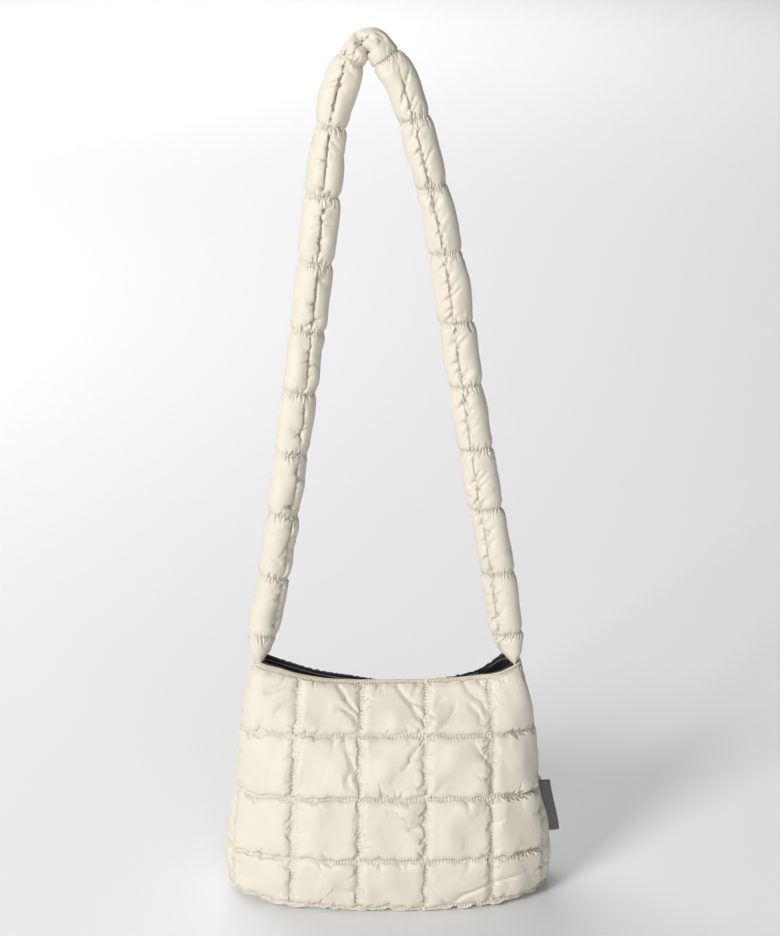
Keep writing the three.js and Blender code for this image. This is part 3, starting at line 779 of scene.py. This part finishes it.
def crease_strap(height, place, angle, pinches, apex, rng):
    """Creases all over the strap, out from its long seam and out from its pinches."""
    out_round = np.broadcast_to((angle * STRAP_FULL[0])[None], height.shape)
    out_long = np.broadcast_to(place[:, None], height.shape)
    whole_round = 2 * np.pi * STRAP_FULL[0]

    def wrinkle(start, way, ranges):
        press(height, out_round, out_long, start, way, *(rng.uniform(*limits) for limits in ranges))

    for _ in range(STRAP_WRINKLES):
        start = (rng.uniform(0, whole_round), rng.uniform(pinches[0], pinches[-1]))
        tilt = rng.normal(0, STRAP_WRINKLE_TILT)
        wrinkle(start, (math.cos(tilt) * rng.choice((-1, 1)), math.sin(tilt)), STRAP_WRINKLE)
    for low, high in zip(pinches[:-1], pinches[1:]):
        counts, tilts = SEAM_RIGHT if low > apex - APEX_MARGIN else SEAM_LEFT
        for side, seam_at in ((1, 0.0), (-1, whole_round)):
            for _ in range(rng.integers(*counts)):
                tilt = rng.normal(*tilts)
                start = (seam_at, rng.uniform(low + SEAM_CLEAR, high - SEAM_CLEAR))
                wrinkle(start, (side * math.cos(tilt), side * math.sin(tilt)), SEAM_WRINKLE)
    for pinch in pinches:
        for side in (-1, 1):
            for _ in range(GATHERS):
                tilt = rng.normal(0, GATHER_TILT)
                start = (rng.uniform(0, whole_round), pinch)
                wrinkle(start, (math.sin(tilt), side * math.cos(tilt)), GATHER)


def strap_cloth(rng):
    """The strap's settled cloth, normals, flat coordinates and pinched rings."""
    route, along, rows = strap_route()
    length = along[-1]
    pinches = np.concatenate([PINCH_LEFT, length - np.array(PINCH_RIGHT[::-1])])
    pinch_at = FIRST_CELLS + SEGMENT_CELLS * np.arange(len(pinches))
    rings = pinch_at[-1] + LAST_CELLS + 1
    shape = (rings, STRAP_CELLS + 1)
    place = np.interp(np.arange(rings), [0, *pinch_at, rings - 1], [0, *pinches, length])
    apex = np.interp(APEX_ROW, rows, along)
    past_apex = place - apex
    from_end = np.minimum(place, length - place)
    to_pinch = np.min(np.abs(place[:, None] - place[pinch_at][None]), -1)

    # Middle of each ring, which way its long seam faces, and the way across it
    middle = at_distance(along, route, place)
    tangent = unit(np.gradient(middle, axis=0))
    turn = np.radians(spline(STRAP_ROUTE[:, 2], np.interp(place, along, rows)))[:, None]
    inward = np.stack([tangent[:, 2], 0 * place, -tangent[:, 0]], -1)
    facing = np.cos(turn) * np.array([0, -1.0, 0]) + np.sin(turn) * inward
    across = np.cross(tangent, facing)

    # Sections, pinched all along and filled out
    share = np.arange(STRAP_CELLS + 1) / STRAP_CELLS
    angle = 2 * np.pi * share - STRAP_CROWD * np.sin(2 * np.pi * share)
    at_end = np.interp(from_end, *GROOVE_END)
    crush = 1 - CRUSH_SHARE * np.exp(-((past_apex / CRUSH_REACH) ** 2))
    crush = crush * np.interp(past_apex, *SLIM)
    pinch_wide = np.interp(from_end, END_ABOVE, END_WIDE) * crush
    pinch_thick = np.interp(from_end, END_ABOVE, END_THICK)
    swell = smooth_noise(rng, shape, STRAP_SPACING, *SWELL_WAVES)
    full = rise_of(to_pinch, STRAP_EDGE) * np.interp(from_end, *END_SWELL)
    full_wide = pinch_wide + full * (STRAP_FULL[0] - STRAP_PINCH[0]) * crush
    full_thick = pinch_thick + full * (STRAP_FULL[1] - STRAP_PINCH[1])
    shown = np.interp(past_apex, *GROOVE_SHOWN)
    groove = STRAP_GROOVE * at_end * shown * np.interp(past_apex, *DEEP_GROOVE)

    near = np.minimum(angle, 2 * np.pi - angle)
    shoulders, slit = np.exp(-near / GROOVE_ANGLE[0]), np.exp(-((near / GROOVE_ANGLE[1]) ** 2))
    sunk = groove[:, None] * ((1 - SLIT_SHARE) * shoulders + SLIT_SHARE * slit)

    def surface(wide, thick):
        w, t = wide[:, None] * np.sin(angle), thick[:, None] * np.cos(angle) - sunk
        return middle[:, None] + t[..., None] * facing[:, None] + w[..., None] * across[:, None]

    base, filled = surface(pinch_wide, pinch_thick), surface(full_wide, full_thick)
    out_w, out_t = np.sin(angle) / STRAP_PINCH[0], np.cos(angle) / STRAP_PINCH[1]
    normal = unit(out_t[None, :, None] * facing[:, None] + out_w[None, :, None] * across[:, None])
    height = np.einsum("ijk,ijk->ij", filled - base, normal) * (1 + SWELL * swell)
    crease_strap(height, place, angle, pinches, apex, rng)
    crease_at = np.argmin(np.abs(past_apex))
    from_front = np.abs((angle - APEX_CREASE_TURN + np.pi) % (2 * np.pi) - np.pi)
    crease = APEX_CREASE * np.clip(np.cos(from_front) + APEX_CREASE_ROUND, 0, 1)
    height = height - crease_of(np.abs(past_apex), APEX_CREASE_REACH)[:, None] * crease[None]

    # Pinned places: the pinches, the long seam, the sewn ends and the crease across the top
    seam = [0, -1]
    pinned = np.zeros(shape, bool)
    pinned[pinch_at] = True
    pinned[:, seam] = True
    pinned[from_end < END_PINNED] = True
    pinned[crease_at, crease > 0] = True
    hole = np.zeros(shape)
    hole[pinch_at] = np.arange(STRAP_CELLS + 1) % STRAP_NEEDLE == 0
    stitched = base - (NEEDLE_DEPTH * hole)[..., None] * normal
    hidden = (1 - shown) * at_end
    stitched[:, seam] += (hidden[:, None] * height[:, seam])[..., None] * normal[:, seam]
    stitched[crease_at] = base[crease_at] - crease[:, None] * normal[crease_at]

    to_seam = near * STRAP_FULL[0]
    nearest = np.minimum(to_pinch[:, None], to_seam[None])
    puckers = first_puckers(rng, shape, STRAP_SPACING, nearest, STRAP_RIPPLE_FAR) * at_end[:, None]
    start, goal = (base + field[..., None] * normal for field in (height + puckers, height))
    start[pinned] = stitched[pinned]
    goal[pinned] = base[pinned]
    goal[:, seam] = stitched[:, seam]
    uneven = uneven_share(rng, shape, STRAP_SPACING)
    spare_round = uneven * drawn_up(to_pinch, STRAP_SPARE_REACH[0])[:, None]
    spare_long = shown[:, None] * uneven * drawn_up(to_seam, STRAP_SPARE_REACH[1])[None]
    around, lengthwise = taut_lengths(goal)
    around = around * (1 + STRAP_SPARE[0] * spare_round[:, 1:])
    lengthwise = lengthwise * (1 + STRAP_SPARE[1] * spare_long[1:])
    loose_round = LOOSE * np.broadcast_to(drawn_up(to_pinch, STRAP_LOOSE_REACH[0])[:, None], shape)
    loose_long = np.minimum(LOOSE * drawn_up(to_seam, STRAP_LOOSE_REACH[1])[None], LOOSE - loose_round)
    cloth = settle(
        start, base, normal, height, STRAP_LEAST, (loose_round, loose_long), pinned, (around, lengthwise),
        STRAP_FOLD,
    )
    uv = np.stack(np.broadcast_arrays((angle * STRAP_FULL[0])[None], place[:, None]), -1)
    return {"cloth": cloth, "normal": normal, "uv": uv, "pinch_at": pinch_at}


def strap_tab(side):
    seam = wall_points(TAB_LEVEL, side, -1)
    angle = 2 * np.pi * np.arange(STRAP_CELLS) / STRAP_CELLS
    x = seam[0] - side * (TAB_INSET + TAB_THICK * np.cos(angle))
    return np.stack([x, TAB_WIDE * np.sin(angle), np.full(STRAP_CELLS, seam[2])], -1)


def strap_piece(strap):
    rings = [strap_tab(-1), *strap["cloth"][:, :-1], strap_tab(1)]
    uv = strap["uv"][:, :-1]
    uv = np.concatenate([uv[0, :1], uv[0], uv.reshape(-1, 2), uv[-1], uv[-1, :1]])
    return make_piece("strap_tube", *skin_over(with_ends(rings)), uv)


strap = strap_cloth(rng)
strap_tube = strap_piece(strap)


# Label

def label_piece():
    """A strip folded in two at its outer edge, both layers sewn into the seam."""
    seam = wall_points(np.linspace(LABEL_LOW, LABEL_HIGH, LABEL_ROWS + 1), 1.0, -1)
    out = np.linspace(0, 1, LABEL_COLUMNS + 1)
    loop_out = np.concatenate([out, [LABEL_NOSE], out[::-1]])
    gap = LABEL_GAP[0] + LABEL_GAP[1] * np.sin(np.pi * out)
    loop_side = np.concatenate([-gap, [0], gap[::-1]])
    wave = LABEL_WAVE[0] * np.sin(np.linspace(0, LABEL_WAVE[1], LABEL_ROWS + 1))[:, None]

    def layer(offset):
        x = seam[:, None, 0] + LABEL_CLEAR + LABEL_DEEP * loop_out[None] + offset * (loop_side == 0)[None]
        side = loop_side[None] + np.sign(loop_side)[None] * offset
        y = side + (LABEL_CURL + wave) * loop_out[None] ** 2
        return np.stack(np.broadcast_arrays(x, y, seam[:, None, 2]), -1)

    along_cloth = np.arange(1, len(loop_out) + 1) * LABEL_CELL
    uv = np.stack(np.broadcast_arrays(along_cloth[None], seam[:, None, 2]), -1).reshape(-1, 2)
    return make_piece("label_fold", *closed_sheet(layer(LABEL_LAYER), layer(0.0), 1), np.concatenate([uv, uv]))


label_fold = label_piece()


# Stitches

def stitch_points(starts, ends, normals):
    """Threads from one needle hole to the next, as one set of points and faces."""
    way = unit(ends - starts)
    side = unit(np.cross(way, normals))
    over = np.cross(side, way)
    rings = []
    for share, thick in zip(STITCH_SHARES, STITCH_THICK):
        rise = STITCH_LIFT * math.sin(math.pi * share) + STITCH_RADIUS * STITCH_STAND
        middle = starts + (ends - starts) * share + over * rise
        for a in 2 * np.pi * np.arange(STITCH_SIDES) / STITCH_SIDES:
            out = math.cos(a) * side + STITCH_FLAT * math.sin(a) * over
            rings.append(middle + STITCH_RADIUS * thick * out)
    last = len(rings) - STITCH_SIDES
    fan = np.array([(0, k, k + 1) for k in range(1, STITCH_SIDES - 1)])
    ring = np.arange(STITCH_SIDES)
    turned = (ring + 1) % STITCH_SIDES
    around = np.stack([ring, ring + STITCH_SIDES, turned + STITCH_SIDES, turned], -1)
    quads = np.concatenate([r + around for r in range(0, last, STITCH_SIDES)])
    first = np.arange(len(starts))[:, None, None] * len(rings)
    caps = np.concatenate([first + fan, first + last + fan[:, ::-1]])
    return np.stack(rings, 1).reshape(-1, 3), (first + quads).reshape(-1, 4), caps.reshape(-1, 3)


def run_of_stitches(points, normals, cells):
    k = np.arange(0, len(points) - cells, cells)
    return points[k], points[k + cells], unit(normals[k] + normals[k + cells])


def stitches_piece(name, runs):
    return make_piece(name, *stitch_points(*(np.concatenate(part) for part in zip(*runs))))


def wall_runs(wall):
    cloth, normal = wall["cloth"], wall["normal"]
    runs = [run_of_stitches(cloth[i], normal[i], NEEDLE_CELLS) for i in LEVEL_AT]
    upright = slice(LEVEL_AT[0] + -LEVEL_AT[0] % NEEDLE_CELLS, LEVEL_AT[-1] + 1)
    for j in LINE_AT[1:-1]:
        runs.append(run_of_stitches(cloth[upright, j], normal[upright, j], NEEDLE_CELLS))
    return runs


wall_stitches = stitches_piece("wall_stitches", wall_runs(front) + wall_runs(back))
strap_stitches = stitches_piece(
    "strap_stitches",
    [run_of_stitches(strap["cloth"][i], strap["normal"][i], STRAP_NEEDLE) for i in strap["pinch_at"]],
)
lining_line = np.concatenate([lining_inner[LINING_SEAM], lining_inner[LINING_SEAM][:1]])
lining_stitches = stitches_piece(
    "lining_stitches", [run_of_stitches(lining_line, unit(-lining_line * LINING_INWARD), 1)],
)


# Materials

WAVE_UNIT = 0.314  # a band of the wave texture at scale 1


def new_material(name, colour, roughness):
    material = bpy.data.materials.new(name)
    material.use_nodes = True
    shader = material.node_tree.nodes["Principled BSDF"]
    shader.inputs["Base Color"].default_value = (*colour, 1)
    shader.inputs["Roughness"].default_value = roughness
    return material, material.node_tree, shader


def add_node(tree, kind, **inputs):
    node = tree.nodes.new(kind)
    for name, value in inputs.items():
        node.inputs[name].default_value = value
    return node


def two_tone(tree, shader, pale, deep, scale):
    place = tree.nodes.new("ShaderNodeTexCoord")
    noise = add_node(tree, "ShaderNodeTexNoise", Scale=scale, Detail=4.0, Roughness=0.55)
    tree.links.new(place.outputs["Object"], noise.inputs["Vector"])
    ramp = tree.nodes.new("ShaderNodeValToRGB")
    for element, at, tone in zip(ramp.color_ramp.elements, (0.32, 0.68), (deep, pale)):
        element.position, element.color = at, (*tone, 1)
    tree.links.new(noise.outputs["Fac"], ramp.inputs["Fac"])
    tree.links.new(ramp.outputs["Color"], shader.inputs["Base Color"])


def weave(tree, shader, thread, depth, strength):
    """A plain weave as bump, from the cloth's own flat coordinates in metres."""
    place = tree.nodes.new("ShaderNodeUVMap")
    place.uv_map = "cloth"
    both = tree.nodes.new("ShaderNodeMath")
    both.operation = "ADD"
    for k, direction in enumerate("XY"):
        wave = add_node(tree, "ShaderNodeTexWave", Scale=WAVE_UNIT / thread, Distortion=0.4, Detail=1.0)
        wave.bands_direction = direction
        tree.links.new(place.outputs["UV"], wave.inputs["Vector"])
        tree.links.new(wave.outputs["Fac"], both.inputs[k])
    bump = add_node(tree, "ShaderNodeBump", Strength=strength, Distance=depth)
    tree.links.new(both.outputs["Value"], bump.inputs["Height"])
    tree.links.new(bump.outputs["Normal"], shader.inputs["Normal"])


def cloth_material(name, colour, roughness, pale, deep, scale, threads=None, sheen=None):
    """A cloth of two tones. Threads are spacing, depth and strength; sheen is weight and roughness."""
    material, tree, shader = new_material(name, colour, roughness)
    two_tone(tree, shader, pale, deep, scale)
    if threads:
        weave(tree, shader, *threads)
    if sheen:
        shader.inputs["Sheen Weight"].default_value, shader.inputs["Sheen Roughness"].default_value = sheen
    return material


SHELL_PALE = (0.705, 0.658, 0.553)
SHELL_DEEP = (0.672, 0.624, 0.518)
shell = cloth_material(
    "shell_nylon", SHELL_PALE, 0.48, SHELL_PALE, SHELL_DEEP, 22.0,
    threads=(0.0005, 0.00008, 0.35), sheen=(0.03, 0.45),
)
thread = cloth_material(
    "shell_thread", (0.80, 0.76, 0.67), 0.6, (0.81, 0.77, 0.68), (0.75, 0.70, 0.61), 180.0,
)
black = cloth_material(
    "lining_weave", (0.012, 0.012, 0.013), 0.55, (0.016, 0.016, 0.017), (0.009, 0.009, 0.010), 60.0,
    threads=(0.0008, 0.0001, 0.4),
)
grey = cloth_material(
    "label_weave", (0.14, 0.146, 0.138), 0.7, (0.150, 0.156, 0.147), (0.126, 0.132, 0.123), 200.0,
    threads=(0.0006, 0.0001, 0.5),
)
grey_thread = cloth_material(
    "lining_thread", (0.60, 0.60, 0.60), 0.6, (0.66, 0.66, 0.66), (0.52, 0.52, 0.52), 180.0,
)

# Pieces with their materials, slot names and the parts of the model they stand in for; each is set on the root
# body
PIECES = (
    (front_panel, shell, "shell", "front_panel"),
    (back_panel, shell, "shell", "back_panel"),
    (base_pad, shell, "shell", "base_panel"),
    (strap_tube, shell, "shell", "strap"),
    (lining_cup, black, "lining", "lining"),
    (label_fold, grey, "label", "side_label"),
    (wall_stitches, thread, "shell", None),
    (strap_stitches, thread, "shell", None),
    (lining_stitches, grey_thread, "lining", None),
)
for piece, material, slot, node in PIECES:
    piece.data.materials.append(material)
    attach(piece, "root")
    if node:
        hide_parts(node)

# Stage
FLOOR_Z = base_low.z
FLOOR_REACH = 20.0
floor_mesh = bpy.data.meshes.new("floor")
corners = [(x * FLOOR_REACH, y * FLOOR_REACH, FLOOR_Z) for x, y in ((-1, -1), (1, -1), (1, 1), (-1, 1))]
floor_mesh.from_pydata(corners, [], [(0, 1, 2, 3)])
floor = bpy.data.objects.new("floor", floor_mesh)
bpy.context.collection.objects.link(floor)
floor_material, _, _ = new_material("floor_paper", (0.86, 0.86, 0.87), 0.8)
floor_mesh.materials.append(floor_material)

# Light
SKY_LOW = (0.085, 0.085, 0.087)
SKY_HIGH = (0.285, 0.285, 0.289)
SKY_AXIS = (-0.42, 0.0, 0.907)
# Square lamps: name, place, what it faces, side and power
LAMPS = (
    ("key", (-3.6, -4.5, 2.2), (0, 0, -0.5), 1.8, 294),
    ("fill", (0.7, -5.0, 0.7), (0, 0, -0.5), 3, 72),
    ("backdrop", (-2.2, 6.2, 4.4), (-2.2, 6.2, -0.7), 5, 288),
    ("far", (-0.5, 10.5, 4.0), (-0.5, 10.5, -0.7), 3, 137),
    ("left", (-2.0, 1.8, 1.0), (-1.2, 1.8, -0.7), 1.6, 25),
)
world = bpy.data.worlds.new("studio")
bpy.context.scene.world = world
world.use_nodes = True
sky = world.node_tree
sky_place = sky.nodes.new("ShaderNodeTexCoord")
height_in_sky = sky.nodes.new("ShaderNodeVectorMath")
height_in_sky.operation = "DOT_PRODUCT"
height_in_sky.inputs[1].default_value = SKY_AXIS
sky_ramp = sky.nodes.new("ShaderNodeValToRGB")
sky_ramp.color_ramp.interpolation = "EASE"
for element, tone in zip(sky_ramp.color_ramp.elements, (SKY_LOW, SKY_HIGH)):
    element.color = (*tone, 1)
sky.links.new(sky_place.outputs["Generated"], height_in_sky.inputs[0])
sky.links.new(height_in_sky.outputs["Value"], sky_ramp.inputs["Fac"])
sky.links.new(sky_ramp.outputs["Color"], sky.nodes["Background"].inputs["Color"])

for name, place, aim, side, power in LAMPS:
    lamp = bpy.data.lights.new(name, "AREA")
    lamp.shape = "RECTANGLE"
    lamp.size = lamp.size_y = side
    lamp.energy = power
    light = bpy.data.objects.new(name, lamp)
    light.location = place
    light.rotation_euler = (Vector(aim) - Vector(place)).to_track_quat("-Z", "Y").to_euler()
    light.visible_camera = False
    bpy.context.collection.objects.link(light)

# Camera
CAMERA_PLACE = (0.016, -1.6, 0.15558)
CAMERA_PITCH = 16.887  # degrees below level
FOCAL_PIXELS = 2077.1
PHOTO_HIGH = 936
camera_data = bpy.data.cameras.new("camera")
camera_data.sensor_width = 36
camera_data.lens = FOCAL_PIXELS * camera_data.sensor_width / PHOTO_HIGH
camera = bpy.data.objects.new("camera", camera_data)
camera.location = CAMERA_PLACE
camera.rotation_euler = (math.radians(90 - CAMERA_PITCH), 0, 0)
bpy.context.collection.objects.link(camera)
bpy.context.scene.camera = camera
bpy.context.scene.view_settings.view_transform = "Standard"
